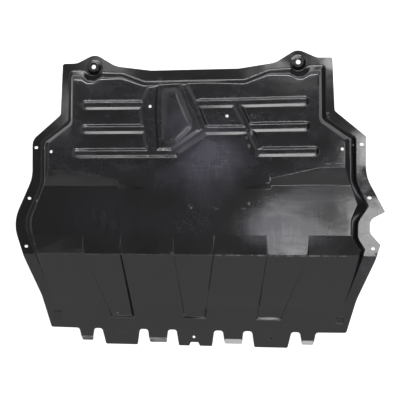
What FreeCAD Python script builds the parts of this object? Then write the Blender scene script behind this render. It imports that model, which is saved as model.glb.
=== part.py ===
import FreeCAD, Part
import math
import os

# Engine splash shield: one moulded sheet of black plastic that hangs under an engine bay.
# It lies face down here, as it comes to rest, with the side that faces the road upwards.
# X runs across the car, +Y points to the rear edge with the two ears, and +Z points away
# from the engine. The origin is in the middle of the underside, at the lowest point.

V = FreeCAD.Vector
doc = FreeCAD.newDocument("splash_shield")
sheet = doc.addObject("Spreadsheet::Sheet", "sizes")

DRIVING_SIZES = [
    # The sheet and its levels
    ("wall", 2.8),
    ("dish_depth", 25.0),
    ("side_rise", 11.0),
    ("front_slope", 6.0),
    ("apron_drop", 4.5),
    # Stations along Y
    ("flange_bend", -147.0),
    ("apron_start", -92.0),
    ("ramp_crease", -143.0),
    ("ramp_foot", -290.0),
    ("step_foot", 36.0),
    ("step_top", 82.0),
    ("step_jog", 9.0),
    ("tab_end", -394.0),
    # Stations along X, both sides alike
    ("rise_start", 112.0),
    ("rise_full", 327.0),
    ("jog_reach", 200.0),
    # Ears and their bosses; the ear's outline follows its hole
    ("ear_x", 272.5),
    ("ear_y", 358.5),
    ("boss_height", 9.0),
    ("boss_base_radius", 20.0),
    ("boss_top_radius", 13.0),
    ("ear_seat_radius", 9.5),
    ("ear_seat_depth", 1.4),
    ("ear_hole_radius", 5.8),
    # Raised ribs, pads and the five sided boss
    ("rib_height", 7.5),
    ("rib_width", 26.5),
    ("rib_flank", 8.0),
    ("pad_height", 6.5),
    ("pad_end", -313.0),
    ("pad_lean", 0.9),
    ("cell_height", 4.5),
    ("cell_flank", 12.0),
    # Fixing slots and holes
    ("slot_length", 10.4),
    ("slot_width", 7.2),
    ("clip_hole_radius", 4.0),
    ("tab_hole_radius", 3.6),
    ("dimple_radius", 5.0),
    ("dimple_depth", 1.0),
    ("dash_depth", 0.5),
    # Turned down lips on four of the front tabs
    ("lip_length", 21.0),
    ("lip_slope", 30.0),
    # Level pads at the front corners
    ("corner_pad_side", 20.0),
]
for row_number, (alias, value) in enumerate(DRIVING_SIZES, start=1):
    cell = "B%d" % row_number
    sheet.set("A%d" % row_number, alias)
    sheet.set(cell, str(value))
    sheet.setAlias(cell, alias)
doc.recompute()


def size(alias):
    """Value of one driving size."""
    return float(getattr(sheet, alias))


# Outline corners of the right half as (x, y, corner radius), from the rear to the front.
REAR_EDGE = [(118.0, 347.0, 80.0), (214.0, 360.5, 60.0)]
REAR_CORNER = (361.0, 370.5, 6.0)
SHOULDER_FOOT = (366.5, 231.5, 12.0)
SHOULDER_TIP = (446.0, 164.0)
SHOULDER_RADIUS = {1: 4.0, -1: 32.0}
SIDE_WAIST = (446.0, 60.0, 100.0)
EAR_PEAK_OFFSET = (-2.0, 36.5)
EAR_PEAK_RADIUS = 31.0
EAR_FOOT_OFFSET = (49.0, 12.5)
EAR_FOOT_RADIUS = 30.0
SIDE_PEAK = [(-501.0, -62.0, 105.0)]
SIDE_NOTCH = [(494.0, -32.0, 2.0), (455.3, -52.0, 22.0), (455.3, -87.0, 22.0), (482.0, -117.0, 2.0)]
FRONT_SIDE = [(469.0, -158.0, 100.0), (423.0, -262.0, 150.0), (398.5, -350.0, 7.0)]

# Front tabs of the right half, from the outside in: x at the root and at the end, outer
# side first, how far the end stops short of the longest tab, and whether it has a lip.
TABS = [
    ((320.0, 313.0), (278.0, 284.0), 8.0, True),
    ((256.0, 246.0), (152.0, 158.0), 0.0, False),
    ((129.0, 125.0), (74.0, 79.0), 6.0, True),
    ((51.0, 45.0), None, 0.0, False),
]
TAB_ROOT_Y = -351.0
ROOT_RADIUS = 8.0
TAB_RADIUS = 4.0
CENTRE_NOTCH = [(12.0, 0.0), (7.5, 10.0), (-12.5, 10.0), (-17.0, 0.0)]

# Foot of the dish wall at the flange and its head at the highest floor, for the right
# half, as (foot x, foot y, head x, head y, corner radius).
DISH_REAR = [
    (40.0, 317.0, 38.0, 298.0, 60.0),
    (134.0, 317.0, 132.0, 290.0, 25.0),
    (196.0, 341.0, 191.0, 312.0, 30.0),
    (254.0, 344.0, 247.0, 313.0, 14.0),
    (268.0, 333.5, 266.0, 304.5, 12.0),
    (282.0, 333.5, 284.0, 304.5, 12.0),
    (303.0, 350.0, 297.0, 313.0, 12.0),
    (341.0, 350.0, 321.0, 319.0, 8.0),
    (343.0, 215.0, 322.0, 199.0, 18.0),
    (420.0, 160.0, 388.5, 149.0, 14.0),
    (420.0, 46.0, 388.5, 44.0, 90.0),
]
DISH_SIDE_LEFT = [(-469.0, -63.5, -426.0, -58.0, 75.0)]
DISH_SIDE_RIGHT = [
    (451.5, -17.0, 399.0, -8.0, 4.0),
    (424.0, -56.0, 390.0, -49.0, 45.0),
    (424.0, -100.0, 389.0, -88.0, 45.0),
    (443.0, -129.0, 406.0, -126.0, 4.0),
]
DISH_FRONT = [
    (436.0, -152.0, 408.0, -146.0, 20.0),
    (372.0, -305.0, 352.0, -302.0, 10.0),
    (360.0, -345.0, 340.0, -340.0, 10.0),
]
# The lower part of the wall is the steeper one and takes this share of the run.
STEEP_SHARE = 0.58

# Centre lines of the straight ribs as name, start and end. The plateau lies between the
# two slopes that lift the side floors.
PLATEAU_RIBS = [
    ("sill_left", (-126.0, 123.0), (-38.0, 123.0)),
    ("diagonal", (44.0, 190.0), (-62.0, 120.0)),
    ("sill_middle", (18.0, 181.5), (146.0, 181.5)),
    ("bar_middle", (6.0, 251.5), (138.0, 251.5)),
    ("brace", (106.5, 261.0), (179.5, 115.0)),
]
SIDE_RIBS = [
    ("bar_left_rear", (-298.0, 250.5), (-127.0, 250.5)),
    ("bar_left_middle", (-301.0, 186.5), (-122.0, 186.5)),
    ("bar_left_front", (-323.0, 123.0), (-112.0, 123.0)),
    ("bar_right_rear", (298.0, 251.5), (100.0, 251.5)),
    ("bar_right_middle", (300.0, 187.3), (140.0, 187.3)),
    ("bar_right_front", (323.0, 123.0), (160.0, 123.0)),
]
# Posts of uneven width, as foot outlines that run on into the rear wall.
POSTS = [
    ("post_left", [(-120.0, 335.0), (-122.0, 301.0), (-141.0, 262.0), (-146.0, 233.0),
                   (-136.0, 173.0), (-126.0, 109.8), (-88.0, 109.8), (-96.0, 231.0),
                   (-90.0, 335.0)]),
    ("post_middle", [(-45.0, 335.0), (-38.0, 301.0), (-20.0, 250.0), (-3.0, 222.0),
                     (12.0, 178.0), (42.0, 178.0), (36.5, 199.0), (20.0, 239.0),
                     (-13.0, 301.0), (-17.0, 335.0)]),
]
CELL = [
    (-84.0, 294.0), (-86.0, 146.0), (-48.0, 146.0), (-4.0, 187.0), (-4.0, 208.0),
    (-12.0, 224.0), (-30.0, 268.0), (-38.0, 294.0),
]
# Pads on the front ramp as name, low and high x at the crease, and the same at their end.
PADS = [
    ("pad_left", (-298.0, -193.0), (-229.0, -165.0)),
    ("pad_middle", (-54.5, 54.5), (-31.0, 29.0)),
    ("pad_right", (189.0, 298.0), (162.0, 229.0)),
]

CORNER_PAD = (380.0, -315.0)
SIDE_SLOTS = [(435.5, 143.0), (454.7, 4.3), (463.2, -127.0)]
CLIP_HOLES = [(380.5, 128.0), (-380.5, 128.0), (-114.0, 245.0), (87.7, 218.0)]
TAB_HOLE = (-4.0, -370.0)
FLANGE_DIMPLES = [(351.0, 221.0), (-93.0, 328.0), (201.0, -367.0), (-201.0, -367.0)]
FLOOR_DIMPLES = [(156.0, 217.0), (-7.0, -17.0), (147.0, -10.0)]
CELL_DIMPLE = (-51.5, 156.0)
DASHES = [(61.0, -21.5), (132.0, -20.5)]
DASH_SIZE = (19.0, 2.6)

# Levels that follow from the driving sizes.
WALL = size("wall")
FRONT_FALL = math.tan(math.radians(size("front_slope")))
LIP_START = size("tab_end") + size("lip_length")
LIP_FALL = math.tan(math.radians(size("lip_slope")))
lip_end = size("tab_end") + min(short for _, _, short, lipped in TABS if lipped)
lip_low = FRONT_FALL * (size("flange_bend") - LIP_START) + LIP_FALL * (LIP_START - lip_end)
tab_low = FRONT_FALL * (size("flange_bend") - size("tab_end"))
FLANGE_Z = max(lip_low, tab_low) + WALL
FLOOR_Z = FLANGE_Z + size("dish_depth")
SIDE_Z = FLOOR_Z + size("side_rise")
TILT = math.atan2(size("side_rise"), size("rise_full") - size("rise_start"))
WALL_FLANK = 1.3 * WALL
REACH = 600.0
DEEP = 80.0


def mirrored(points):
    """The same corners on the left, in the order that carries the outline on."""
    return [(-p[0],) + tuple(p[1:]) for p in reversed(points)]


def inset(corners, distance):
    """Move every side of a closed outline inwards; corners are (x, y, radius)."""
    count = len(corners)
    area = 0.0
    for index in range(count):
        a = corners[index]
        b = corners[(index + 1) % count]
        area += a[0] * b[1] - b[0] * a[1]
    turn = 1.0 if area > 0 else -1.0
    moved = []
    for index in range(count):
        before = corners[index - 1]
        here = corners[index]
        after = corners[(index + 1) % count]
        u = V(here[0] - before[0], here[1] - before[1], 0).normalize()
        w = V(after[0] - here[0], after[1] - here[1], 0).normalize()
        bend = (u.x * w.y - u.y * w.x) * turn
        half = V(u.x + w.x, u.y + w.y, 0).normalize()
        slip = distance / max(half.dot(u), 0.2)
        x = here[0] - half.y * slip * turn
        y = here[1] + half.x * slip * turn
        radius = here[2]
        if radius > 0:
            radius = max(radius - distance, 0.8) if bend > 0 else radius + distance
        moved.append((x, y, radius))
    return moved


def outline_edges(corners):
    """Lines and corner arcs of a closed outline in its own plane."""
    count = len(corners)
    starts, ends, arcs = [], [], []
    for index in range(count):
        before = V(*corners[index - 1][:2], 0)
        here = V(*corners[index][:2], 0)
        after = V(*corners[(index + 1) % count][:2], 0)
        radius = corners[index][2]
        to_before = (before - here).normalize()
        to_after = (after - here).normalize()
        opening = to_before.getAngle(to_after)
        if radius <= 0 or abs(opening - math.pi) < 0.01:
            starts.append(here)
            ends.append(here)
            arcs.append(None)
            continue
        trim = radius / math.tan(opening / 2)
        room = 0.49 * min((before - here).Length, (after - here).Length)
        if trim > room:
            trim = room
            radius = trim * math.tan(opening / 2)
        first = here + to_before * trim
        last = here + to_after * trim
        centre = here + (to_before + to_after).normalize() * (radius / math.sin(opening / 2))
        middle = centre + (here - centre).normalize() * radius
        starts.append(first)
        ends.append(last)
        arcs.append(Part.Arc(first, middle, last))
    edges = []
    for index in range(count):
        if arcs[index]:
            edges.append(arcs[index])
        nxt = starts[(index + 1) % count]
        if (nxt - ends[index]).Length > 1e-6:
            edges.append(Part.LineSegment(ends[index], nxt))
    return edges


def sketch(name, corners, placement):
    """A closed sketch of straight sides and corner arcs."""
    item = doc.addObject("Sketcher::SketchObject", name)
    item.addGeometry(outline_edges(corners), False)
    item.Placement = placement
    return item


def level(z):
    """The XY plane at height z."""
    return FreeCAD.Placement(V(0, 0, z), FreeCAD.Rotation())


def yz_plane():
    """Local x runs along Y and local y along Z."""
    return FreeCAD.Placement(V(0, 0, 0), FreeCAD.Rotation(V(0, 1, 0), V(0, 0, 1), V(1, 0, 0), "XYZ"))


def xz_plane():
    """Local x runs along X and local y along Z."""
    return FreeCAD.Placement(V(0, 0, 0), FreeCAD.Rotation(V(1, 0, 0), V(0, 0, 1), V(0, -1, 0), "XYZ"))


def extrusion(name, base, half_length):
    """Straight extrusion to both sides of the sketch plane."""
    item = doc.addObject("Part::Extrusion", name)
    item.Base = base
    item.DirMode = "Normal"
    item.LengthFwd = half_length
    item.LengthRev = half_length
    item.Solid = True
    return item


def combine(kind, name, items):
    """Fuse or intersect a list of objects."""
    item = doc.addObject(kind, name)
    item.Shapes = items
    return item


def cut(name, base, tool):
    """Base less tool."""
    item = doc.addObject("Part::Cut", name)
    item.Base = base
    item.Tool = tool
    return item


def plain(points):
    """Sharp corners."""
    return [(x, y, 0.0) for x, y in points]


# Flange: the whole outline cut from a sheet that is level at the sides and the rear and
# falls to the front tabs.
def tab_corners():
    """Front edge of the right half, from the outside to the middle."""
    corners = []
    for outer, inner, short, _ in TABS:
        end_y = size("tab_end") + short
        corners.append((outer[0], TAB_ROOT_Y, ROOT_RADIUS))
        corners.append((outer[1], end_y, TAB_RADIUS))
        if inner:
            corners.append((inner[1], end_y, TAB_RADIUS))
            corners.append((inner[0], TAB_ROOT_Y, ROOT_RADIUS))
    return corners


def half_outline(side):
    """Corners of one half, from the rear middle round to the front middle."""
    ear_peak = (size("ear_x") + EAR_PEAK_OFFSET[0], size("ear_y") + EAR_PEAK_OFFSET[1], EAR_PEAK_RADIUS)
    ear_foot = (size("ear_x") + EAR_FOOT_OFFSET[0], size("ear_y") + EAR_FOOT_OFFSET[1], EAR_FOOT_RADIUS)
    corners = REAR_EDGE + [ear_peak, ear_foot, REAR_CORNER, SHOULDER_FOOT]
    corners = corners + [SHOULDER_TIP + (SHOULDER_RADIUS[side],), SIDE_WAIST]
    corners = corners + (SIDE_NOTCH if side > 0 else mirrored(SIDE_PEAK))
    return corners + FRONT_SIDE + tab_corners()


centre_notch = [(x, size("tab_end") + y, TAB_RADIUS / 2) for x, y in CENTRE_NOTCH]
plate_corners = half_outline(1) + centre_notch + mirrored(half_outline(-1))
plate_sketch = sketch("plate_outline", plate_corners, level(0))
plate_prism = extrusion("plate_prism", plate_sketch, 2 * DEEP)


def flange_level(y):
    """Height of the flange's upper face at y."""
    return FLANGE_Z - FRONT_FALL * max(size("flange_bend") - y, 0.0)


def ramp_level(y):
    """Height of the ramp's outer face at y, in front of the crease."""
    crease = size("ramp_crease")
    foot = size("ramp_foot")
    start = FLOOR_Z - size("apron_drop")
    return start - (start - flange_level(foot)) * (crease - y) / (crease - foot)


def sheet_profile(name, top_points):
    """A band of one wall under a line of (y, z) points, right across the part."""
    lower = [(y, z - WALL) for y, z in reversed(top_points)]
    profile = sketch(name + "_profile", plain(top_points + lower), yz_plane())
    return extrusion(name, profile, REACH)


main_band = sheet_profile("main_band", [
    (REACH, FLANGE_Z), (size("flange_bend"), FLANGE_Z), (-REACH, flange_level(-REACH))])
lip_band = sheet_profile("lip_band", [
    (LIP_START + 2 * WALL, flange_level(LIP_START + 2 * WALL)),
    (LIP_START, flange_level(LIP_START)),
    (-REACH, flange_level(LIP_START) - LIP_FALL * (LIP_START + REACH))])
lip_blocks = []
for side in (1, -1):
    for outer, inner, _, lipped in TABS:
        if not lipped:
            continue
        block = doc.addObject("Part::Box", "lip_block")
        block.Height = 2 * DEEP
        block.Length = outer[0] - inner[0] + 2 * WALL
        block.Width = REACH
        low_x = side * outer[0] - WALL if side < 0 else inner[0] - WALL
        block.Placement = FreeCAD.Placement(V(low_x, LIP_START - REACH, -DEEP), FreeCAD.Rotation())
        lip_blocks.append(block)
lip_zone = combine("Part::MultiFuse", "lip_zone", lip_blocks)
flat_part = cut("flat_part", main_band, lip_zone)
lip_part = combine("Part::MultiCommon", "lip_part", [lip_band, lip_zone])
folded_sheet = combine("Part::MultiFuse", "folded_sheet", [flat_part, lip_part])
flange = combine("Part::MultiCommon", "flange", [plate_prism, folded_sheet])


# Floor: everything under the outer face of the dish bottom, ramp and raised side floors.
def floor_block(tag, shift):
    """Solid under the floor surface, moved up by shift."""
    top = FLOOR_Z + shift
    high = SIDE_Z + shift
    crease = size("ramp_crease")
    middle = sketch("floor_profile_" + tag, plain([
        (REACH, top), (size("apron_start"), top), (crease, ramp_level(crease) + shift),
        (-REACH, ramp_level(-REACH) + shift), (-REACH, -4 * DEEP), (REACH, -4 * DEEP)]), yz_plane())
    middle_block = extrusion("floor_" + tag, middle, REACH)
    start, full = size("rise_start"), size("rise_full")
    rise = sketch("rise_profile_" + tag, plain([
        (-REACH, -DEEP), (REACH, -DEEP), (REACH, high), (full, high), (start, top),
        (-start, top), (-full, high), (-REACH, high)]), xz_plane())
    rise_block = extrusion("rise_" + tag, rise, REACH)
    parts = [middle_block]
    for label, jog, reach in (("outer", 0.0, REACH), ("inner", size("step_jog"), size("jog_reach"))):
        foot = size("step_foot") - jog
        head = size("step_top") - jog
        run = (head - foot) / size("side_rise")
        low_y = foot - run * (top + DEEP)
        step = sketch("step_profile_%s_%s" % (label, tag), plain([
            (REACH, -DEEP), (REACH, high), (head, high), (low_y, -DEEP)]), yz_plane())
        step_block = extrusion("step_%s_%s" % (label, tag), step, reach)
        parts.append(combine("Part::MultiCommon", "raised_%s_%s" % (label, tag), [rise_block, step_block]))
    return combine("Part::MultiFuse", "floor_solid_" + tag, parts)


# Dish: a lofted wall between the flange and the floor, one loft for each face of it.
def dish_section(z, distance):
    """Wall outline at height z, moved inwards by distance."""
    low = FLANGE_Z
    middle = FLOOR_Z
    if z <= middle:
        share = STEEP_SHARE * (z - low) / (middle - low)
    else:
        share = STEEP_SHARE + (1 - STEEP_SHARE) * (z - middle) / (SIDE_Z - middle)
    right = DISH_REAR + DISH_SIDE_RIGHT + DISH_FRONT
    left = DISH_REAR + [(-fx, fy, -hx, hy, r) for fx, fy, hx, hy, r in DISH_SIDE_LEFT] + DISH_FRONT

    def at_height(rows):
        return [(fx + (hx - fx) * share, fy + (hy - fy) * share, r) for fx, fy, hx, hy, r in rows]

    return inset(at_height(right) + mirrored(at_height(left)), distance)


def loft(name, sections):
    """Ruled solid through outlines with the same corners, given as (corners, plane)."""
    item = doc.addObject("Part::Loft", name)
    item.Sections = [sketch("%s_section" % name, corners, plane) for corners, plane in sections]
    item.Solid = True
    item.Ruled = True
    return item


DISH_LEVELS = [FLANGE_Z - 28.0, FLOOR_Z, SIDE_Z + 20.0]
dish_outer = loft("dish_outer", [(dish_section(z, 0.0), level(z)) for z in DISH_LEVELS])
dish_inner = loft("dish_inner", [(dish_section(z, WALL_FLANK), level(z)) for z in DISH_LEVELS])
above_sheet_profile = sketch("above_sheet_profile", plain([
    (REACH, FLANGE_Z - WALL), (REACH, 3 * DEEP), (-REACH, 3 * DEEP),
    (-REACH, flange_level(-REACH) - WALL), (size("flange_bend"), FLANGE_Z - WALL)]), yz_plane())
above_sheet = extrusion("above_sheet", above_sheet_profile, REACH)
dish_outside = combine("Part::MultiCommon", "dish_outside",
                       [dish_outer, floor_block("outside", 0.0), above_sheet])
dish_inside = combine("Part::MultiCommon", "dish_inside",
                      [dish_inner, floor_block("inside", -WALL), above_sheet])


# Ribs, posts and the five sided boss: frustums that stand on the floor, each with a
# smaller one inside that leaves one wall.
def plan(x, y):
    """A point of the level floor, in the plane of that floor."""
    return (x, y)


FLOOR_PLANE = (level(FLOOR_Z), plan)


def side_plane(side):
    """Plane of the raised floor on one side and the way to its own coordinates."""
    place = FreeCAD.Placement(V(side * size("rise_start"), 0, FLOOR_Z),
                              FreeCAD.Rotation(V(0, 1, 0), -side * math.degrees(TILT)))

    def local(x, y):
        return ((x - side * size("rise_start")) / math.cos(TILT), y)

    return (place, local)


SINK = 1.5
CORNER = 2.5
outer_beads = []
inner_beads = []


def raised(place, z):
    """The plane moved along its own normal."""
    return place.multiply(FreeCAD.Placement(V(0, 0, z), FreeCAD.Rotation()))


def bead(name, points, plane, tiers):
    """One hollow raised form over a foot outline; tiers are (height, inset) upwards."""
    place, local = plane
    lean = tiers[0][1] / tiers[0][0]
    foot = [local(x, y) + (CORNER + tiers[0][1],) for x, y in points]
    outer = [(inset(foot, -SINK * lean), raised(place, -SINK))]
    sharp = plain([corner[:2] for corner in foot])
    inner = [(inset(sharp, (WALL - SINK) * lean), raised(place, -SINK - WALL))]
    for height, flank in tiers:
        outer.append((inset(foot, flank), raised(place, height)))
        inner.append((inset(sharp, flank + WALL), raised(place, height - WALL)))
    outer_beads.append(loft(name + "_outer", outer))
    inner_beads.append(loft(name + "_inner", inner))


def bar_outline(start, end, width):
    """Foot of a straight rib."""
    along = V(end[0] - start[0], end[1] - start[1], 0).normalize()
    across = V(-along.y, along.x, 0) * (width / 2)
    return [(start[0] + across.x, start[1] + across.y), (start[0] - across.x, start[1] - across.y),
            (end[0] - across.x, end[1] - across.y), (end[0] + across.x, end[1] + across.y)]


RIB_TIER = [(size("rib_height"), size("rib_flank"))]
for name, start, end in PLATEAU_RIBS:
    bead("rib_" + name, bar_outline(start, end, size("rib_width")), FLOOR_PLANE, RIB_TIER)
for name, start, end in SIDE_RIBS:
    side = 1 if start[0] > 0 else -1
    bead("rib_" + name, bar_outline(start, end, size("rib_width")), side_plane(side), RIB_TIER)
for name, points in POSTS:
    bead(name, points, FLOOR_PLANE, RIB_TIER)
bead("cell", CELL, FLOOR_PLANE, [(size("cell_height"), size("cell_flank"))])
beads_outside = combine("Part::MultiCommon", "beads_outside", [
    combine("Part::MultiFuse", "bead_outer_set", outer_beads), dish_outer])
beads_inside = combine("Part::MultiCommon", "beads_inside", [
    combine("Part::MultiFuse", "bead_inner_set", inner_beads), dish_inner])


# Pads: ridges that keep the floor's level out to the crease and follow the ramp to an end
# wall on the front strip.
def pad(name, at_crease, at_end, drop, shrink):
    """One face of a pad: lowered by drop and drawn in by shrink at its sides."""
    crease = size("ramp_crease")
    foot = size("ramp_foot")
    end = size("pad_end")
    lean = size("pad_lean")
    height = size("pad_height")
    toe = end - height * lean
    stations = [
        (size("apron_start"), FLOOR_Z, 0.0),
        (crease, FLOOR_Z - size("apron_drop"), size("apron_drop")),
        (foot, ramp_level(foot), height),
        (end, flange_level(end), height),
        (toe, flange_level(toe), 0.0),
    ]
    if drop > 0:
        stations[-2] = (end + shrink, flange_level(end + shrink), height)
        stations[-1] = (toe + shrink, flange_level(toe + shrink), 0.0)
    sections = []
    for y, base, rise in stations:
        share = max(crease - y, 0.0) / (crease - toe)
        low = at_crease[0] + (at_end[0] - at_crease[0]) * share + shrink
        high = at_crease[1] + (at_end[1] - at_crease[1]) * share - shrink
        deep = SINK + drop
        corners = [(low - (deep - drop) * lean, base - deep), (high + (deep - drop) * lean, base - deep),
                   (high - (rise - drop) * lean, base + rise - drop),
                   (low + (rise - drop) * lean, base + rise - drop)]
        plane = xz_plane()
        plane.Base = V(0, y, 0)
        sections.append((plain(corners), plane))
    return loft(name, sections)


WALL_RUN = WALL * math.hypot(1.0, size("pad_lean"))
pads_outside = [pad(name + "_outer", crease, end, 0.0, 0.0) for name, crease, end in PADS]
pads_inside = [pad(name + "_inner", crease, end, WALL, WALL_RUN) for name, crease, end in PADS]


# Ear bosses: hollow cones round the two rear fixing holes.
def cone(name, side, foot, shrink):
    """One face of a boss as a cone; shrink is the share of a wall taken off its radii."""
    item = doc.addObject("Part::Cone", name)
    item.setExpression("Radius1", "sizes.boss_base_radius - %s * sizes.wall" % shrink)
    item.setExpression("Radius2", "sizes.boss_top_radius - %s * sizes.wall" % shrink)
    item.setExpression("Height", "sizes.boss_height")
    item.Placement = FreeCAD.Placement(V(side * size("ear_x"), size("ear_y"), foot), FreeCAD.Rotation())
    item.setExpression("Placement.Base.x", "%d * sizes.ear_x" % side)
    item.setExpression("Placement.Base.y", "sizes.ear_y")
    return item


boss_outer = [cone("boss_outer", side, FLANGE_Z, "0") for side in (1, -1)]
boss_inner = [cone("boss_inner", side, FLANGE_Z - WALL, "1.1") for side in (1, -1)]


# Small level pads on the sloping front strip, one at each front corner.
corner_pads = []
for side in (1, -1):
    item = doc.addObject("Part::Box", "corner_pad")
    for edge in ("Length", "Width"):
        item.setExpression(edge, "sizes.corner_pad_side")
    item.setExpression("Height", "sizes.wall")
    start_y = CORNER_PAD[1] - size("corner_pad_side") / 2
    rear_y = start_y + size("corner_pad_side")
    low_x = side * CORNER_PAD[0] - size("corner_pad_side") / 2
    pad_z = flange_level(rear_y) - WALL + 0.2
    item.Placement = FreeCAD.Placement(V(low_x, start_y, pad_z), FreeCAD.Rotation())
    corner_pads.append(item)


# Holes and slots
def hole(name, x, y, radius_alias):
    """A round hole right through the sheet."""
    item = doc.addObject("Part::Cylinder", name)
    item.setExpression("Radius", "sizes." + radius_alias)
    item.Height = 3 * DEEP
    item.Placement = FreeCAD.Placement(V(x, y, -DEEP), FreeCAD.Rotation())
    return item


def floor_level(x, y):
    """Height of the floor's outer face, off the walls and ribs."""
    if y < size("step_foot"):
        return FLOOR_Z
    lift = (abs(x) - size("rise_start")) / (size("rise_full") - size("rise_start"))
    return FLOOR_Z + size("side_rise") * min(max(lift, 0.0), 1.0)


holes = []
for side in (1, -1):
    item = hole("ear_hole", side * size("ear_x"), size("ear_y"), "ear_hole_radius")
    item.setExpression("Placement.Base.x", "%d * sizes.ear_x" % side)
    item.setExpression("Placement.Base.y", "sizes.ear_y")
    holes.append(item)
    seat = hole("ear_seat", side * size("ear_x"), size("ear_y"), "ear_seat_radius")
    seat.setExpression("Placement.Base.x", "%d * sizes.ear_x" % side)
    seat.setExpression("Placement.Base.y", "sizes.ear_y")
    seat.setExpression("Placement.Base.z", "%.6f + sizes.boss_height - sizes.ear_seat_depth" % FLANGE_Z)
    holes.append(seat)
    for x, y in SIDE_SLOTS:
        half = (size("slot_length") - size("slot_width")) / 2
        end_radius = size("slot_width") / 2
        slot_corners = [(side * x - half - end_radius, y - end_radius, end_radius),
                        (side * x + half + end_radius, y - end_radius, end_radius),
                        (side * x + half + end_radius, y + end_radius, end_radius),
                        (side * x - half - end_radius, y + end_radius, end_radius)]
        holes.append(extrusion("side_slot", sketch("slot_outline", slot_corners, level(0)), 2 * DEEP))
for x, y in CLIP_HOLES:
    holes.append(hole("clip_hole", x, y, "clip_hole_radius"))
holes.append(hole("tab_hole", TAB_HOLE[0], TAB_HOLE[1], "tab_hole_radius"))
dimple_places = [(x, y, floor_level(x, y)) for x, y in FLOOR_DIMPLES]
dimple_places += [(x, y, flange_level(y)) for x, y in FLANGE_DIMPLES]
dimple_places.append(CELL_DIMPLE + (FLOOR_Z + size("cell_height"),))
for x, y, z in dimple_places:
    item = hole("dimple", x, y, "dimple_radius")
    item.Placement = FreeCAD.Placement(V(x, y, z - size("dimple_depth")), FreeCAD.Rotation())
    holes.append(item)
for x, y in DASHES:
    item = doc.addObject("Part::Box", "dash")
    item.Length = DASH_SIZE[0]
    item.Width = DASH_SIZE[1]
    item.Height = DEEP
    item.Placement = FreeCAD.Placement(V(x - DASH_SIZE[0] / 2, y, FLOOR_Z - size("dash_depth")),
                                       FreeCAD.Rotation())
    holes.append(item)

outside = combine("Part::MultiFuse", "outside",
                  [flange, dish_outside, beads_outside] + pads_outside + boss_outer + corner_pads)
inside = combine("Part::MultiFuse", "inside",
                 [dish_inside, beads_inside] + pads_inside + boss_inner + holes)
shield = cut("shield", outside, inside)
shield.Label = "splash_shield"
shield.Refine = True
doc.recompute()

for item in doc.Objects:
    if "Invalid" in item.State or "Error" in item.State:
        raise RuntimeError("%s failed: %s" % (item.Name, item.State))
for part in (shield,):
    if part.Shape.isNull() or not part.Shape.isValid():
        raise RuntimeError("%s has no valid shape" % part.Label)
    print(part.Label, "solids", len(part.Shape.Solids), "volume", round(part.Shape.Volume),
          "box", part.Shape.BoundBox)
    os.makedirs("parts", exist_ok=True)
    part.Shape.exportStep("parts/%s.step" % part.Label)
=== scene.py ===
"""Looks of the engine splash shield: one moulded sheet of glossy black plastic, seen from the
side that faces the road, on a white table under soft studio light.

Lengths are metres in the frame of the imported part: X across the car, +Y to the rear edge with
the two ears, +Z away from the engine.
"""

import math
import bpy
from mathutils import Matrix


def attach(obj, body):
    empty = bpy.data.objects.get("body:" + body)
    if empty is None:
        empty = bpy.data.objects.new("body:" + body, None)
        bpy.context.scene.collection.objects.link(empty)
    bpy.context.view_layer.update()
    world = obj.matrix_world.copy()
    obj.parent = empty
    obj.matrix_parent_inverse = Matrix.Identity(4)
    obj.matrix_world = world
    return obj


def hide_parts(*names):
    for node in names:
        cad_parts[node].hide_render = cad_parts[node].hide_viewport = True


bl_info = {
    "name": "Engine splash shield",
    "version": (1, 0, 0),
    "blender": (4, 5, 0),
    "location": "3D View > Sidebar > Shield",
    "description": "Dresses a moulded engine splash shield and sets up its studio",
    "category": "Object",
}

import bmesh
import bpy
from mathutils import Matrix, Vector, geometry
from mathutils.bvhtree import BVHTree
from mathutils.kdtree import KDTree

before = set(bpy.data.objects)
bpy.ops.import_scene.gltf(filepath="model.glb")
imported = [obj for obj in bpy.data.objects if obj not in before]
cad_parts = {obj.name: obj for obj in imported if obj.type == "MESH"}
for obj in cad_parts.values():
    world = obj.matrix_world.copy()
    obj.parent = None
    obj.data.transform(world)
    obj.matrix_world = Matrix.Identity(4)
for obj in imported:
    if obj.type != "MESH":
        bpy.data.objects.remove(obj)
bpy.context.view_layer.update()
NODE = "splash_shield"
BODY = "root"

UP = Vector((0, 0, 1))
DOWN = Vector((0, 0, -1))
ABOVE_ALL = 0.5  # height from which rays are cast down on the sheet
FRAME_TREE = BVHTree.FromObject(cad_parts[NODE], bpy.context.evaluated_depsgraph_get())


def height_at(x, y):
    """Height of the road side at a place, or None beside the sheet."""
    found = FRAME_TREE.ray_cast(Vector((x, y, ABOVE_ALL)), DOWN)[0]
    return None if found is None else found.z


# Upper faces of the level flange, beside the dish, and of the dish's front floor.
FLANGE_LEVEL = height_at(0.436, 0.100)
FLOOR_LEVEL = height_at(0.0, -0.050)
if FLANGE_LEVEL is None or FLOOR_LEVEL is None:
    raise RuntimeError("the sheet isn't where its levels are read")


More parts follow.
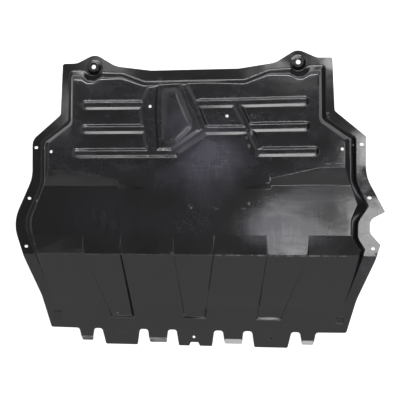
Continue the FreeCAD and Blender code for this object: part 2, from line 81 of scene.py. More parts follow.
# ---------------------------------------------------------------- settings
class ShieldFinish(bpy.types.PropertyGroup):
    """Finish of the moulded sheet."""

    black: bpy.props.FloatVectorProperty(
        name="Plastic", description="Colour of the moulded plastic",
        subtype="COLOR", size=3, min=0, max=1, default=(0.0050, 0.0051, 0.0056))
    # The sheen colour is a painted sheen: violet laid where the lamps' reflections fall on the dish
    # floor and the right flange.
    sheen_colour: bpy.props.FloatVectorProperty(
        name="Sheen", description="Colour of the dull film left on the floor of the dish",
        subtype="COLOR", size=3, min=0, max=1, default=(0.078, 0.074, 0.100))
    gloss: bpy.props.FloatProperty(
        name="Roughness", description="Roughness of the clean moulded skin",
        subtype="FACTOR", min=0, max=1, default=0.14)
    edge: bpy.props.FloatProperty(
        name="Edge rounding", description="Radius of the rounding on the bends of the ribs",
        unit="LENGTH", min=0.0002, max=0.004, default=0.0015)
    ripple: bpy.props.FloatProperty(
        name="Ripple", description="Depth of the slow waves in the moulded skin",
        unit="LENGTH", min=0, max=0.005, default=0.0020)


class StudioSet(bpy.types.PropertyGroup):
    """Table, lamps and camera."""

    table: bpy.props.FloatVectorProperty(
        name="Table", description="Colour of the table top",
        subtype="COLOR", size=3, min=0, max=1, default=(0.60, 0.60, 0.60))
    ambient: bpy.props.FloatProperty(
        name="Ambient", description="Brightness of the room round the table",
        min=0, max=2, default=0.15)
    softbox: bpy.props.FloatProperty(
        name="Softbox", description="Brightness of the softboxes above the table",
        min=0, max=50, default=9.0)
    ceiling: bpy.props.FloatProperty(
        name="Ceiling", description="Grey of the card above the table",
        subtype="FACTOR", min=0, max=1, default=0.50)
    window: bpy.props.FloatProperty(
        name="Window", description="Brightness of the windows in front of the part",
        min=0, max=50, default=9.0)
    rims: bpy.props.FloatProperty(
        name="Rear strip", description="Brightness of the strip behind the part",
        min=0, max=50, default=26.0)
    lens: bpy.props.FloatProperty(
        name="Lens", description="Focal length of the camera on a 36 mm sensor",
        unit="CAMERA", min=10, max=300, default=50.75)


# ---------------------------------------------------------------- shader expressions
class Nodes:
    """Empty node tree of a material or of the world."""

    def __init__(self, owner):
        owner.use_nodes = True
        self.tree = owner.node_tree
        self.tree.nodes.clear()

    def node(self, kind, settings=None, sockets=None):
        """One node: its settings are set first, then values or links go to its sockets."""
        made = self.tree.nodes.new(kind)
        for name, value in (settings or {}).items():
            setattr(made, name, value)
        for name, value in (sockets or {}).items():
            if isinstance(value, Wire):
                value = value.socket
            if isinstance(value, bpy.types.NodeSocket):
                self.tree.links.new(value, made.inputs[name])
            else:
                made.inputs[name].default_value = value
        return made


class Wire:
    """A shader socket that takes part in Python expressions."""

    def __init__(self, nodes, socket):
        self.nodes = nodes
        self.socket = socket

    def _maths(self, operation, *values):
        made = self.nodes.node("ShaderNodeMath", {"operation": operation}, dict(enumerate(values)))
        return Wire(self.nodes, made.outputs[0])

    def __add__(self, other):
        return self._maths("ADD", self, other)

    def __sub__(self, other):
        return self._maths("SUBTRACT", self, other)

    def __rsub__(self, other):
        return self._maths("SUBTRACT", other, self)

    def __mul__(self, other):
        return self._maths("MULTIPLY", self, other)

    def __truediv__(self, other):
        return self._maths("DIVIDE", self, other)

    def __rtruediv__(self, other):
        return self._maths("DIVIDE", other, self)

    def __pow__(self, other):
        return self._maths("POWER", self, other)

    __radd__ = __add__
    __rmul__ = __mul__

    def least(self, other):
        """The smaller of two values."""
        return self._maths("MINIMUM", self, other)

    def ramp(self, low, high):
        """0 below low, 1 above high, smooth between; low may lie above high."""
        made = self.nodes.node("ShaderNodeMapRange", {"interpolation_type": "SMOOTHSTEP"},
                               {"Value": self, "From Min": low, "From Max": high})
        return Wire(self.nodes, made.outputs["Result"])

    def band(self, low, high, soft):
        """1 between low and high with soft sides."""
        return self.ramp(low - soft, low + soft) * self.ramp(high + soft, high - soft)


class Pattern:
    """Places and noises in Object coordinates for one material."""

    def __init__(self, nodes):
        self.nodes = nodes
        self.place = nodes.node("ShaderNodeTexCoord").outputs["Object"]
        split = nodes.node("ShaderNodeSeparateXYZ", None, {"Vector": self.place})
        self.x, self.y, self.z = (Wire(nodes, split.outputs[axis]) for axis in "XYZ")

    def noise(self, scale, detail, roughness, stretch=(1, 1, 1), turn=0.0):
        """Noise from 0 to 1 whose waves are about 1/scale metres long."""
        mapping = self.nodes.node("ShaderNodeMapping", None, {
            "Vector": self.place, "Rotation": (0, 0, turn), "Scale": stretch})
        made = self.nodes.node("ShaderNodeTexNoise", None, {
            "Vector": mapping.outputs[0], "Scale": scale, "Detail": detail, "Roughness": roughness})
        return Wire(self.nodes, made.outputs["Fac"])

    def spot(self, x, y, half_width, half_depth, soft):
        """1 in the middle of an ellipse round x, y, falling to 0 at its edge."""
        away = (((self.x - x) / half_width) ** 2 + ((self.y - y) / half_depth) ** 2) ** 0.5
        return away.ramp(1.0, 1.0 - soft)


def opaque(colour):
    """A colour's three values with full alpha."""
    return tuple(colour) + (1.0,)


def mix_colour(nodes, share, first, second):
    """Colour mix by a share."""
    made = nodes.node("ShaderNodeMix", {"data_type": "RGBA"}, {0: share, 6: first, 7: second})
    return made.outputs[2]


# ---------------------------------------------------------------- the black plastic
PLASTIC_IOR = 1.5
SCUFF_GREY = (0.09, 0.09, 0.095, 1.0)
# Pale grey of the painted highlights along bends and dimples, and of the one rub mark.
HIGHLIGHT_AND_RUB_GREY = (0.30, 0.29, 0.32, 1.0)

# Painted highlights, where bends and dimples catch the lamps, and one pale rub mark: x, y, half
# width, half depth, strength.
HIGHLIGHTS_AND_RUBS = [
    # Painted highlights on the jog of the step, the braces and the corner of the panel; the long
    # flat one is a pale rub mark.
    (0.1990, 0.0530, 0.0030, 0.0085, 0.55),
    (0.1930, 0.0430, 0.0070, 0.0028, 0.35),
    (0.1510, 0.1740, 0.0055, 0.0130, 0.55),
    (0.1385, 0.1610, 0.0035, 0.0060, 0.40),
    (0.1450, 0.1390, 0.0045, 0.0080, 0.45),
    (0.1020, 0.2060, 0.0110, 0.0022, 0.16),
    (-0.0580, 0.1580, 0.0035, 0.0035, 0.40),
    # Painted highlights at the ends of the ribs on the left.
    (-0.2766, 0.2639, 0.0030, 0.0050, 0.28),
    (-0.2820, 0.1926, 0.0030, 0.0050, 0.28),
    (-0.3040, 0.1310, 0.0030, 0.0050, 0.28),
    (-0.1370, 0.2060, 0.0030, 0.0050, 0.28),
    (-0.1225, 0.1390, 0.0028, 0.0070, 0.28),
    # Painted highlight lines along the top and the foot of the step on the right.
    (0.3450, 0.0905, 0.0120, 0.0018, 0.50),
    (0.3720, 0.0915, 0.0140, 0.0016, 0.35),
    (0.3150, 0.0375, 0.0850, 0.0015, 0.35),
    # Painted highlights on the dimples and the dashes between them.
    (-0.0055, -0.0215, 0.0030, 0.0040, 0.60),
    (0.1450, -0.0105, 0.0036, 0.0046, 0.65),
    (0.0600, -0.0240, 0.0100, 0.0013, 0.35),
    (0.1310, -0.0240, 0.0100, 0.0013, 0.35),
    # Painted highlights at the corners of the pads.
    (-0.0575, -0.1405, 0.0028, 0.0036, 0.40),
    (-0.2110, -0.3060, 0.0045, 0.0035, 0.35),
    (-0.0290, -0.3090, 0.0040, 0.0050, 0.35),
]


def moulded_plastic(finish):
    """Black glossy plastic: a dull film whose violet colour is painted sheen where the lamps'
    reflections fall on the dish floor and the right flange, painted highlights along bends and
    dimples, scuffs and fine grain.
    """
    material = bpy.data.materials.new("moulded black plastic")
    nodes = Nodes(material)
    at = Pattern(nodes)

    # Where on the sheet: the dish floor, its rear part with the ribs, and the right flange.
    on_floor = at.z.ramp(FLOOR_LEVEL - 0.004, FLOOR_LEVEL - 0.001) * at.y.ramp(-0.150, -0.135)
    on_ribs = on_floor * at.y.ramp(0.020, 0.090)
    on_flange = at.x.ramp(0.425, 0.440) * at.z.ramp(FLANGE_LEVEL + 0.006, FLANGE_LEVEL + 0.002)

    # How the dull film and its painted sheen lie: clouds, patches, streaks along Y and along X, a
    # weave and specks.
    cloud = at.noise(9.0, 4.0, 0.55).ramp(0.34, 0.70)
    patch = at.noise(26.0, 3.0, 0.6, stretch=(1.0, 1.5, 1.0)).ramp(0.38, 0.74)
    streak = at.noise(17.0, 3.0, 0.5, stretch=(3.2, 0.28, 1.0)).ramp(0.36, 0.72)
    cross_streak = at.noise(30.0, 3.0, 0.6, stretch=(0.25, 2.6, 1.0), turn=0.05).ramp(0.40, 0.78)
    speck = at.noise(420.0, 2.0, 0.6).ramp(0.62, 0.74)
    weave = (at.noise(230.0, 2.0, 0.5, stretch=(1.0, 0.10, 1.0)).ramp(0.36, 0.64)
             + at.noise(230.0, 2.0, 0.5, stretch=(0.10, 1.0, 1.0)).ramp(0.36, 0.64)) * 0.5
    haze = at.noise(15.0, 4.0, 0.6, stretch=(1.5, 0.6, 1.0)).ramp(0.22, 0.82)

    # Where the painted sheen lies on the floor: spots where the lamps' reflections fall, with the
    # dull film.
    middle = at.spot(0.036, 0.090, 0.118, 0.150, 0.9)
    middle += at.spot(-0.070, 0.055, 0.085, 0.060, 1.0) * 0.35
    middle += at.spot(0.105, 0.100, 0.060, 0.080, 1.0) * 0.30
    middle = (middle * (0.70 + cloud * 0.55)).least(1.0)
    behind = at.spot(0.060, 0.120, 0.070, 0.080, 0.8)
    panel = at.spot(-0.040, 0.185, 0.060, 0.110, 0.9)
    right = at.spot(0.235, -0.075, 0.150, 0.110, 0.9)
    front = at.spot(-0.010, -0.060, 0.120, 0.075, 1.0)
    left = at.spot(-0.230, -0.045, 0.180, 0.100, 0.9)
    under_step = at.spot(0.315, 0.006, 0.120, 0.036, 1.0)

    # Painted sheen: violet colour that stands in for the lamps' reflections and fog on the floor;
    # the same share makes the skin duller.
    film_and_sheen = (middle * (0.26 + haze * 0.32 + streak * 0.08 + weave * 0.20)
            + behind * (0.14 + haze * 0.12 + weave * 0.08)
            + panel * (0.10 + haze * 0.34)
            + right * (0.18 + cross_streak * 0.46 + streak * 0.30 + weave * 0.55)
            + front * (haze * 0.16 + weave * 0.10)
            + left * (streak * 0.14 + haze * 0.05)
            + under_step * (0.25 + cross_streak * 0.55))
    # Painted sheen over the ribs as well, and on the right flange painted mottled reflections of
    # the softboxes.
    film_and_sheen = film_and_sheen * on_floor + on_ribs * (0.01 + cloud * 0.08 + patch * 0.12)
    film_and_sheen += on_flange * (patch * 0.34 + weave * 0.16)
    film_and_sheen = (film_and_sheen + cloud * 0.02 + patch * 0.03 + speck * 0.02).least(1.0)

    # Scuffs all over as wear; a painted highlight along the crease above the front ramps and at the
    # pad's end, and the painted highlights and the rub mark listed above.
    scuff = at.noise(60.0, 5.0, 0.7, stretch=(1.0, 0.3, 1.0), turn=0.6).ramp(0.66, 0.78)
    uneven = at.noise(55.0, 4.0, 0.7, stretch=(1.0, 0.2, 1.0)).ramp(0.40, 0.62)
    above_ramps = at.z.ramp(FLOOR_LEVEL - 0.010, FLOOR_LEVEL - 0.006)
    crease_highlight = at.y.band(-0.1465, -0.1435, 0.0007) * above_ramps * uneven
    crease_highlight = crease_highlight * (0.10 + at.x.ramp(0.040, 0.080) * 0.45)
    highlights_and_rubs = at.spot(0.196, -0.3145, 0.034, 0.0050, 0.5) * (0.60 + uneven * 0.35)
    for x, y, half_width, half_depth, strength in HIGHLIGHTS_AND_RUBS:
        highlights_and_rubs += at.spot(x, y, half_width, half_depth, 0.8) * strength

    # Painted sheen: the sheen colour is laid over the black where the lamps' reflections fall.
    colour = mix_colour(nodes, film_and_sheen * 0.9, opaque(finish.black), opaque(finish.sheen_colour))
    colour = mix_colour(nodes, scuff * 0.08, colour, SCUFF_GREY)
    # Painted highlights along the crease, the bends and the dimples, and one pale rub mark, in a
    # pale grey.
    colour = mix_colour(nodes, (crease_highlight + highlights_and_rubs).least(0.8), colour, HIGHLIGHT_AND_RUB_GREY)
    rough = finish.gloss + film_and_sheen * 0.16 + scuff * 0.08 + (cloud - 0.5) * 0.04 - on_flange * 0.05

    # Slow waves of the moulded skin, smaller ones on the right front floor, and fine grain.
    right_front = on_floor * at.y.ramp(0.034, 0.010) * at.x.ramp(0.060, 0.160)
    height = at.noise(9.0, 2.0, 0.4) + at.noise(34.0, 2.0, 0.5) * 0.10
    height += at.noise(48.0, 3.0, 0.6, stretch=(0.45, 1.7, 1.0)) * right_front * 0.05
    height += at.noise(900.0, 2.0, 0.5) * 0.003
    waves = nodes.node("ShaderNodeBump", None, {
        "Height": height, "Distance": finish.ripple, "Strength": 1.0})

    plastic = nodes.node("ShaderNodeBsdfPrincipled", None, {
        "Base Color": colour, "Roughness": rough.least(0.9), "Normal": waves.outputs[0],
        "IOR": PLASTIC_IOR})
    nodes.node("ShaderNodeOutputMaterial", None, {"Surface": plastic.outputs[0]})
    return material


# ---------------------------------------------------------------- the sheet
# A face of the road side looks up, or it is a steep wall with open air above it and the sheet
# close below it, as seen from each of three small distances in front of it.
SLOPE_UP = 0.08
WALL_UP = -0.5
WALL_DISTANCES = (0.0002, 0.0010, 0.0022)
WALL_DROP = 0.015

# Foot of the soft five sided panel between the two posts, the most that is added to the
# rounding there, and the part of the distance from the foot that is added until then.
PANEL = [(-0.084, 0.294), (-0.086, 0.146), (-0.048, 0.146), (-0.004, 0.187), (-0.004, 0.208),
         (-0.012, 0.224), (-0.030, 0.268), (-0.038, 0.294)]
PANEL_SOFTER = 0.0075
PANEL_GROWTH = 0.8

# Where the front ramps end and the rear and side walls begin, with their share of the rounding.
RAMPS_Y, RAMPS_SHARE = -0.088, 0.6
REAR_Y, REAR_SHARE = 0.290, 2.4
SIDES_X, SIDES_SHARE = 0.335, 1.7

# Heights are averaged over a disc: pairs of directions, distances as shares of its radius,
# turn of the outer places against the inner ones, and how thin a disc, cut by the rim, may be.
DISC_PAIRS = 8
DISC_DISTANCES = (0.4, 0.75, 1.0)
DISC_TWIST = 0.4
DISC_THINNEST = 0.02

# Spacing of the skin's corners: the least, that of the places read along the rim, that along
# the bends, and that of the grid between them, which is shifted off the sheet's middle lines.
LEAST_SPACING = 0.0006
RIM_SPACING = 0.0005
BEND_SPACING = 0.0055
BEND_ROWS = (0.0, -0.5, 0.5, -1.0, 1.0)
BEND_ANGLE = math.radians(3.5)
BEND_SHORTEST = 1e-4
GRID_SPACING = 0.0163
GRID_COUNTS = (31, 25)
GRID_SHIFT = (0.0031, 0.0047)

# Distances within which corners are merged: in the CAD mesh, in plan, and skin to rim.
CAD_MERGE = 1e-5
PLAN_MERGE = 1e-7
SKIN_MERGE = 2e-6


def road_side(shape):
    """Faces that look at the road: level and sloping ones, and walls that rise from the sheet."""
    found = set()
    for face in shape.faces:
        if face.normal.z > SLOPE_UP:
            found.add(face)
        elif face.normal.z > WALL_UP:
            middle = face.calc_center_median()
            if FRAME_TREE.ray_cast(middle + face.normal * WALL_DISTANCES[0], UP)[0] is not None:
                continue
            for distance in WALL_DISTANCES:
                start = middle + face.normal * distance
                below = FRAME_TREE.ray_cast(start, DOWN)[0]
                if below is not None and start.z - below.z < WALL_DROP:
                    found.add(face)
    return found


def softness(x, y, usual):
    """Rounding radius at a place: wide on the panel and the walls, small on the front ramps."""
    inside = min(((one[1] - two[1]) * (x - one[0]) + (two[0] - one[0]) * (y - one[1]))
                 / math.dist(one, two) for one, two in zip(PANEL, PANEL[1:] + PANEL[:1]))
    if inside > 0:
        return usual + min(PANEL_SOFTER, PANEL_GROWTH * inside)
    if y < RAMPS_Y:
        return RAMPS_SHARE * usual
    if y > REAR_Y:
        return REAR_SHARE * usual
    if abs(x) > SIDES_X:
        return SIDES_SHARE * usual
    return usual


def rounded_place(x, y, radius):
    """Mean height and mean normal of the road side over a small disc round a place."""
    middle = height_at(x, y)
    if middle is None:
        return None, UP
    total, weight = middle, 1.0
    xx = xy = yy = 1e-12
    slope_x = slope_y = 0.0
    for step in range(DISC_PAIRS):
        for distance in DISC_DISTANCES:
            angle = math.pi * (step + DISC_TWIST * distance) / DISC_PAIRS
            dx = radius * distance * math.cos(angle)
            dy = radius * distance * math.sin(angle)
            pair = (height_at(x + dx, y + dy), height_at(x - dx, y - dy))
            for height, sign in zip(pair, (1, -1)):
                if height is not None:
                    slope_x += (height - middle) * dx * sign
                    slope_y += (height - middle) * dy * sign
                    xx += dx * dx
                    xy += dx * dy
                    yy += dy * dy
            if pair[0] is not None and pair[1] is not None:
                total += (pair[0] + pair[1]) * distance
                weight += 2 * distance
    area = xx * yy - xy * xy
    if area < DISC_THINNEST * (xx + yy) ** 2:
        return total / weight, UP
    lean_x = (slope_x * yy - slope_y * xy) / area
    lean_y = (slope_y * xx - slope_x * xy) / area
    return total / weight, Vector((-lean_x, -lean_y, 1)).normalized()


class PlanPoints:
    """Corners of the new skin in plan, kept apart from each other and from the rim."""

    def __init__(self, rim):
        on_rim = []
        for edge in rim:
            one, two = (Vector((corner.co.x, corner.co.y, 0)) for corner in edge.verts)
            pieces = max(1, math.ceil((two - one).length / RIM_SPACING))
            on_rim += [one.lerp(two, index / pieces) for index in range(pieces + 1)]
        self.rim = KDTree(len(on_rim))
        for number, place in enumerate(on_rim):
            self.rim.insert(place, number)
        self.rim.balance()
        self.cells = {}
        self.places = []
        self.heights = []

    def keep(self, x, y, height=None):
        """Number of a new point, which is kept whatever is near it."""
        key = (round(x / LEAST_SPACING), round(y / LEAST_SPACING))
        self.cells.setdefault(key, []).append(len(self.places))
        self.places.append((x, y))
        self.heights.append(height)
        return len(self.places) - 1

    def add(self, x, y):
        """Keeps a point, unless the rim or another point is too near."""
        if self.rim.find((x, y, 0))[2] < LEAST_SPACING:
            return
        column, row = round(x / LEAST_SPACING), round(y / LEAST_SPACING)
        for i in (-1, 0, 1):
            for j in (-1, 0, 1):
                for number in self.cells.get((column + i, row + j), ()):
                    if math.dist(self.places[number], (x, y)) < LEAST_SPACING:
                        return
        self.keep(x, y)


def bend_lines(shape, faces):
    """Ends of the road side's bends in plan."""
    lines = {}
    for edge in shape.edges:
        if len(edge.link_faces) != 2 or not all(face in faces for face in edge.link_faces):
            continue
        if edge.calc_face_angle(0) > BEND_ANGLE:
            one, two = (tuple(corner.co[:2]) for corner in edge.verts)
            if math.dist(one, two) > BEND_SHORTEST:
                ends = sorted((round(end[0], 5), round(end[1], 5)) for end in (one, two))
                lines[tuple(ends)] = (one, two)
    return list(lines.values())


def skin_points(shape, faces, rim, radius):
    """Plan points: the rim's own corners, rows along every bend and a coarse grid between."""
    points = PlanPoints(rim)
    number_of = {}
    for edge in rim:
        for corner in edge.verts:
            if corner not in number_of:
                number_of[corner] = points.keep(*corner.co)
    lines = bend_lines(shape, faces)
    for row in BEND_ROWS:
        for one, two in lines:
            run = math.dist(one, two)
            across = ((one[1] - two[1]) / run, (two[0] - one[0]) / run)
            pieces = max(1, math.ceil(run / BEND_SPACING))
            for index in range(pieces + 1):
                share = index / pieces
                x = one[0] + (two[0] - one[0]) * share
                y = one[1] + (two[1] - one[1]) * share
                wide = softness(x, y, radius)
                points.add(x + across[0] * row * wide, y + across[1] * row * wide)
    for i in range(-GRID_COUNTS[0], GRID_COUNTS[0] + 1):
        for j in range(-GRID_COUNTS[1], GRID_COUNTS[1] + 1):
            points.add(i * GRID_SPACING + GRID_SHIFT[0], j * GRID_SPACING + GRID_SHIFT[1])
    return points, number_of


def rounded_skin(shape, faces, radius):
    """Corners, normals and triangles of the new skin; a corner beside the sheet is None."""
    rim = [edge for edge in shape.edges if len(edge.link_faces) == 2
           and (edge.link_faces[0] in faces) != (edge.link_faces[1] in faces)]
    points, number_of = skin_points(shape, faces, rim, radius)
    walls = [(number_of[edge.verts[0]], number_of[edge.verts[1]]) for edge in rim]
    places, _, triangles, made_from, _, _ = geometry.delaunay_2d_cdt(
        [Vector(place) for place in points.places], walls, [], 0, PLAN_MERGE)
    corners, normals = [], []
    for place, numbers in zip(places, made_from):
        height, normal = rounded_place(place.x, place.y, softness(place.x, place.y, radius))
        for number in numbers:
            if points.heights[number] is not None:
                height = points.heights[number]
        corners.append(None if height is None else Vector((place.x, place.y, height)))
        normals.append(normal)
    return corners, normals, triangles


def draw_skin(shape, skin, lean, drawn):
    """Adds the new skin's faces to the shape, with their normals in lean and 1 in drawn."""
    corners, normals, triangles = skin
    placed = {}
    for triangle in triangles:
        if any(corners[number] is None for number in triangle):
            continue
        middle = sum((corners[number] for number in triangle), Vector()) / 3
        if height_at(middle.x, middle.y) is None:
            continue
        for number in triangle:
            if number not in placed:
                placed[number] = shape.verts.new(corners[number])
                placed[number][lean] = normals[number]
        face = shape.faces.new([placed[number] for number in triangle])
        face[drawn] = 1
        face.normal_update()
        if face.normal.z < 0:
            face.normal_flip()


def weld_skin(shape, lean):
    """Joins the new skin to the rim; the rim's corners take the skin's normals."""
    def key(corner):
        return tuple(round(part, 5) for part in corner.co)

    bmesh.ops.delete(shape, geom=[edge for edge in shape.edges if not edge.link_faces],
                     context="EDGES")
    leans = {key(corner): corner[lean].copy()
             for corner in shape.verts if corner[lean].length > 0.5}
    bmesh.ops.remove_doubles(shape, verts=shape.verts, dist=SKIN_MERGE)
    for corner in shape.verts:
        corner[lean] = leans.get(key(corner), Vector())
    bmesh.ops.delete(shape, geom=[corner for corner in shape.verts if not corner.link_faces],
                     context="VERTS")


def rounded_copy(node, radius):
    """The CAD node's shape, its road side drawn anew with every moulded bend rounded."""
    shape = bmesh.new()
    shape.from_mesh(node.data)
    bmesh.ops.remove_doubles(shape, verts=shape.verts, dist=CAD_MERGE)
    faces = road_side(shape)
    skin = rounded_skin(shape, faces, radius)
    bmesh.ops.delete(shape, geom=list(faces), context="FACES_ONLY")
    lean = shape.verts.layers.float_vector.new("lean")
    drawn = shape.faces.layers.int.new("drawn")
    draw_skin(shape, skin, lean, drawn)
    weld_skin(shape, lean)

    for face in shape.faces:
        face.smooth = bool(face[drawn])
    for edge in shape.edges:
        edge.smooth = (len(edge.link_faces) == 2
                       and edge.link_faces[0][drawn] == edge.link_faces[1][drawn])
    split = [corner[lean].copy() if face[drawn] else Vector()
             for face in shape.faces for corner in face.verts]
    mesh = bpy.data.meshes.new("shield_skin")
    shape.to_mesh(mesh)
    shape.free()
    mesh.normals_split_custom_set(split)
    made = bpy.data.objects.new("shield_skin", mesh)
    bpy.context.scene.collection.objects.link(made)
    return made


class SHIELD_OT_skin(bpy.types.Operator):
    """Make the moulded sheet: the part's own shape with rounded bends and its black finish"""

    bl_idname = "shield.skin"
    bl_label = "Moulded sheet"

    def execute(self, context):
        finish = context.scene.shield_finish
        skin = rounded_copy(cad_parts[NODE], finish.edge)
        skin.data.materials.clear()
        skin.data.materials.append(moulded_plastic(finish))
        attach(skin, BODY)
        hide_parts(NODE)
        return {"FINISHED"}


# ---------------------------------------------------------------- the studio
TABLE_REACH = 6.0
TABLE_GLOW = 0.86  # what the table adds for the camera, so that its paint shows white
SOFTBOX_HEIGHT = 1.50
CARD_HEIGHT = 1.62
DARK_SHARE = 0.3  # grey of the dark cards as a share of the ceiling's

# Softboxes above the table: name, centre x and y, width, depth, share of the brightness.
SOFTBOXES = [
    ("softbox", 0.310, -0.185, 0.22, 0.25, 1.08),
    ("softbox_band", 0.540, -0.215, 0.24, 0.06, 1.20),
    ("softbox_edge", 0.500, 0.040, 0.30, 0.05, 0.35),
    ("softbox_side_front", 0.780, -0.145, 0.24, 0.33, 1.05),
    ("softbox_side_rear", 0.780, 0.250, 0.24, 0.16, 1.20),
    ("card_rear", 0.300, 0.690, 0.09, 0.10, 1.60),
    ("card_rear_low", 0.170, 0.640, 0.10, 0.03, 1.20),
    ("card_corner_right", 0.560, 0.740, 0.10, 0.14, 2.00),
    ("card_corner_left", -0.610, 0.735, 0.18, 0.12, 0.45),
    ("card_side_left", -0.830, 0.500, 0.10, 0.20, 0.45),
]

# Lamps in front of the part and behind it: name, centre, target, width, height, the setting
# that holds the brightness, share of it.
WINDOWS = [
    ("low_window_left", (-0.53, -1.62, 0.51), (-0.3, 0.2, 0.07), 0.50, 0.22, "window", 1.0),
    ("low_window_right", (0.25, -1.62, 0.44), (0.2, 0.2, 0.07), 0.74, 0.32, "window", 1.0),
    ("high_window", (0.40, -1.60, 0.90), (0.1, 0.0, 0.0), 0.80, 0.26, "window", 0.5),
    ("rear_strip", (-0.1, 1.60, 0.47), (-0.1, 0.3, 0.05), 1.8, 0.24, "rims", 1.0),
]

# Upright dark cards that the walls and tabs mirror: name, x and y of both ends, top.
UPRIGHT_CARDS = [
    ("side_right", 1.95, -1.30, 1.95, 1.60, 1.30),
    ("side_front_left", -1.90, -1.72, -0.13, -1.72, 0.41),
    ("flag_right", 0.62, -0.34, 0.62, 0.12, 0.10),
    ("flag_rear", -0.55, 0.75, 0.55, 0.75, 0.06),
    ("flag_left", -0.62, -0.20, -0.62, 0.30, 0.07),
]

# Level dark cards overhead that the triangles under the step's jogs mirror: name, x and y of
# one corner, x and y of the opposite one.
LEVEL_CARDS = [
    ("flag_jog_right", 0.01, -0.80, 0.24, -0.58),
    ("flag_jog_left", -0.56, -0.80, -0.34, -0.58),
]
CEILING = ("ceiling", -1.40, -0.585, 1.15, 1.00)

# The camera's lean about X and Y, and the flange's middle as the camera sees it.
CAMERA_LEAN = (math.radians(-0.44), math.radians(-5.48))
CAMERA_OFFSET = Vector((-0.0146, 0.0007, -1.500))


def looking(nodes):
    """1 for the rays that look at the background: from the camera, off gloss or through glass."""
    path = nodes.node("ShaderNodeLightPath")
    camera, glossy, through = (Wire(nodes, path.outputs[name]) for name in (
        "Is Camera Ray", "Is Glossy Ray", "Is Transmission Ray"))
    return (camera + glossy + through).least(1.0)


def table_surface(colour):
    """Pale table top that shows white to the camera and keeps a light shadow."""
    material = bpy.data.materials.new("white table")
    nodes = Nodes(material)
    paint = nodes.node("ShaderNodeBsdfDiffuse", None, {"Color": opaque(colour)})
    glow = nodes.node("ShaderNodeEmission", None, {"Strength": TABLE_GLOW})
    both = nodes.node("ShaderNodeAddShader", None, {0: paint.outputs[0], 1: glow.outputs[0]})
    mixed = nodes.node("ShaderNodeMixShader", None, {
        0: looking(nodes), 1: paint.outputs[0], 2: both.outputs[0]})
    nodes.node("ShaderNodeOutputMaterial", None, {"Surface": mixed.outputs[0]})
    return material


def matt_card(level):
    """Plain dark grey card."""
    material = bpy.data.materials.new("grey card")
    nodes = Nodes(material)
    paint = nodes.node("ShaderNodeBsdfDiffuse", None, {"Color": opaque((level,) * 3)})
    nodes.node("ShaderNodeOutputMaterial", None, {"Surface": paint.outputs[0]})
    return material


def studio_world(brightness):
    """Even grey room that shows white to the camera."""
    world = bpy.data.worlds.new("room")
    bpy.context.scene.world = world
    nodes = Nodes(world)
    white = (1.0, 1.0, 1.0, 1.0)
    room = nodes.node("ShaderNodeBackground", None, {"Color": white, "Strength": brightness})
    seen = nodes.node("ShaderNodeBackground", None, {"Color": white, "Strength": 1.0})
    mixed = nodes.node("ShaderNodeMixShader", None, {
        0: looking(nodes), 1: room.outputs[0], 2: seen.outputs[0]})
    nodes.node("ShaderNodeOutputWorld", None, {"Surface": mixed.outputs[0]})


def panel_lamp(name, centre, target, width, height, brightness):
    """Area lamp whose face has the given brightness; it lights the part and isn't seen itself."""
    lamp = bpy.data.lights.new(name, "AREA")
    lamp.shape = "RECTANGLE"
    lamp.size = width
    lamp.size_y = height
    lamp.energy = brightness * math.pi * width * height
    made = bpy.data.objects.new(name, lamp)
    bpy.context.scene.collection.objects.link(made)
    towards = Vector(target) - Vector(centre)
    made.location = centre
    made.rotation_euler = towards.to_track_quat("-Z", "Y").to_euler()
    made.visible_camera = False


def stage_plate(name, corners, material, seen=False):
    """One flat face of the studio through the given corners."""
    mesh = bpy.data.meshes.new(name)
    mesh.from_pydata(corners, [], [tuple(range(len(corners)))])
    mesh.materials.append(material)
    made = bpy.data.objects.new(name, mesh)
    bpy.context.scene.collection.objects.link(made)
    made.visible_camera = seen


def level_corners(x1, y1, x2, y2, z):
    """Corners of a level rectangle."""
    return [(x1, y1, z), (x2, y1, z), (x2, y2, z), (x1, y2, z)]


def photo_camera(lens):
    """Camera that looks down on the sheet, leaning a little to its right."""
    turn = Matrix.Rotation(CAMERA_LEAN[0], 3, "X") @ Matrix.Rotation(CAMERA_LEAN[1], 3, "Y")
    back = turn.transposed()
    place = Vector((0, 0, FLANGE_LEVEL)) - back @ CAMERA_OFFSET
    camera = bpy.data.cameras.new("camera")
    camera.sensor_width = 36.0
    camera.lens = lens
    made = bpy.data.objects.new("camera", camera)
    bpy.context.scene.collection.objects.link(made)
    made.matrix_world = Matrix.Translation(place) @ back.to_4x4()
    bpy.context.scene.camera = made


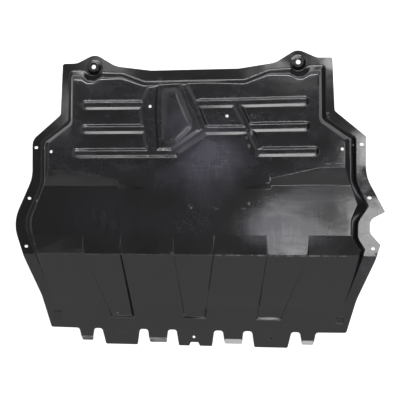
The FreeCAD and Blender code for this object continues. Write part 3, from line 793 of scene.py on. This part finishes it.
class SHIELD_OT_studio(bpy.types.Operator):
    """Set up the table, the room, the lamps and the camera"""

    bl_idname = "shield.studio"
    bl_label = "Studio"

    def execute(self, context):
        studio = context.scene.shield_studio
        context.scene.view_settings.view_transform = "Standard"
        stage_plate("table", level_corners(-TABLE_REACH, -TABLE_REACH, TABLE_REACH, TABLE_REACH, 0),
                    table_surface(studio.table), seen=True)
        studio_world(studio.ambient)
        stage_plate(CEILING[0], level_corners(*CEILING[1:], CARD_HEIGHT), matt_card(studio.ceiling))
        dark = matt_card(studio.ceiling * DARK_SHARE)
        for name, x1, y1, x2, y2, top in UPRIGHT_CARDS:
            stage_plate(name, [(x1, y1, 0), (x2, y2, 0), (x2, y2, top), (x1, y1, top)], dark)
        for name, x1, y1, x2, y2 in LEVEL_CARDS:
            stage_plate(name, level_corners(x1, y1, x2, y2, CARD_HEIGHT), dark)
        for name, x, y, width, depth, share in SOFTBOXES:
            panel_lamp(name, (x, y, SOFTBOX_HEIGHT), (x, y, 0.0), width, depth,
                       studio.softbox * share)
        for name, centre, target, width, height, setting, share in WINDOWS:
            panel_lamp(name, centre, target, width, height, getattr(studio, setting) * share)
        photo_camera(studio.lens)
        return {"FINISHED"}


# ---------------------------------------------------------------- the panel
class SHIELD_PT_sidebar(bpy.types.Panel):
    """Settings and steps of the splash shield"""

    bl_idname = "SHIELD_PT_sidebar"
    bl_label = "Splash shield"
    bl_space_type = "VIEW_3D"
    bl_region_type = "UI"
    bl_category = "Shield"

    def draw(self, context):
        column = self.layout.column()
        for group in (context.scene.shield_finish, context.scene.shield_studio):
            for name in group.__annotations__:
                column.prop(group, name)
        for step in (SHIELD_OT_skin, SHIELD_OT_studio):
            column.operator(step.bl_idname)


CLASSES = (ShieldFinish, StudioSet, SHIELD_OT_skin, SHIELD_OT_studio, SHIELD_PT_sidebar)


def register():
    for item in CLASSES:
        bpy.utils.register_class(item)
    bpy.types.Scene.shield_finish = bpy.props.PointerProperty(type=ShieldFinish)
    bpy.types.Scene.shield_studio = bpy.props.PointerProperty(type=StudioSet)


def unregister():
    del bpy.types.Scene.shield_studio
    del bpy.types.Scene.shield_finish
    for item in reversed(CLASSES):
        bpy.utils.unregister_class(item)


def main():
    register()
    bpy.ops.shield.skin()
    bpy.ops.shield.studio()


if __name__ == "__main__":
    main()
